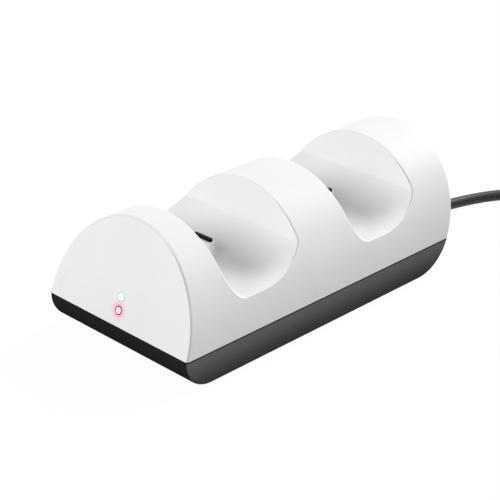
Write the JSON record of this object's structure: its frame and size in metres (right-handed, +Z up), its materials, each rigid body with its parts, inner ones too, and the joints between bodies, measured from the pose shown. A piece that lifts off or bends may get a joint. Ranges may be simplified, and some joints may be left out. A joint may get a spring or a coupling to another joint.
{
  "type": "controller charging dock",
  "caption": "Half-round desktop dock with two open bays across it, each with a contact post that charges a game controller set into it.",
  "frame": {"origin": "centre of the box round the dock without its lead, on the surface that it stands on", "axes": "+X across the dock to its right-hand side as seen from the front, +Y from the sloping front face to the rear where the lead leaves, +Z up"},
  "size_m": [0.1187, 0.2234, 0.0449],
  "materials": {
    "cover": "satin moulded plastic, white",
    "tray": "satin moulded plastic, near black",
    "foot_rubber": "matt",
    "screw_steel": "zinc plated",
    "clear_lens": "polished clear light pipe",
    "lit_lens": "polished clear light pipe, lit red",
    "circuit_board": "green solder mask",
    "light_chip": "moulded light chip",
    "post": "satin light grey",
    "contact_head": "matt black",
    "gilt_contact": "gold flash over copper alloy",
    "chip": "black mould compound",
    "choke": "dark ferrite",
    "capacitor_can": "bare can",
    "socket": "ivory nylon",
    "red_wire": "soft plastic sheath",
    "black_wire": "soft plastic sheath",
    "lead_rubber": "matt dark grey sheath",
    "tie": "matt black strap",
    "plug_grip": "satin dark grey",
    "plug_metal": "nickel plated",
    "plug_tongue": "white nylon"
  },
  "bodies": {
    "root": {"top_cover": "cover", "base_tray": "tray", "feet": "foot_rubber", "case_screws": "screw_steel", "upper_light_lens": "clear_lens", "lower_light_lens": "lit_lens", "light_board": "circuit_board", "indicator_lights": "light_chip", "front_contact_post": "post", "rear_contact_post": "post", "front_contact_head": "contact_head", "rear_contact_head": "contact_head", "front_contact_pins": "gilt_contact", "rear_contact_pins": "gilt_contact", "front_contact_board": "circuit_board", "rear_contact_board": "circuit_board", "contact_board_screws": "screw_steel", "main_board": "circuit_board", "board_screws": "screw_steel", "charge_chips": "chip", "control_chip": "chip", "chokes": "choke", "capacitors": "capacitor_can", "wire_sockets": "socket", "red_wires": "red_wire", "black_wires": "black_wire", "strain_relief": "lead_rubber", "cord_clamp": "tray", "clamp_screws": "screw_steel", "cord_run": "lead_rubber", "cord_coil": "lead_rubber", "cord_tail": "lead_rubber", "cord_tie": "tie", "plug_body": "plug_grip", "plug_shell": "plug_metal", "plug_tongue": "plug_tongue", "plug_contacts": "gilt_contact"}
  },
  "joints": []
}
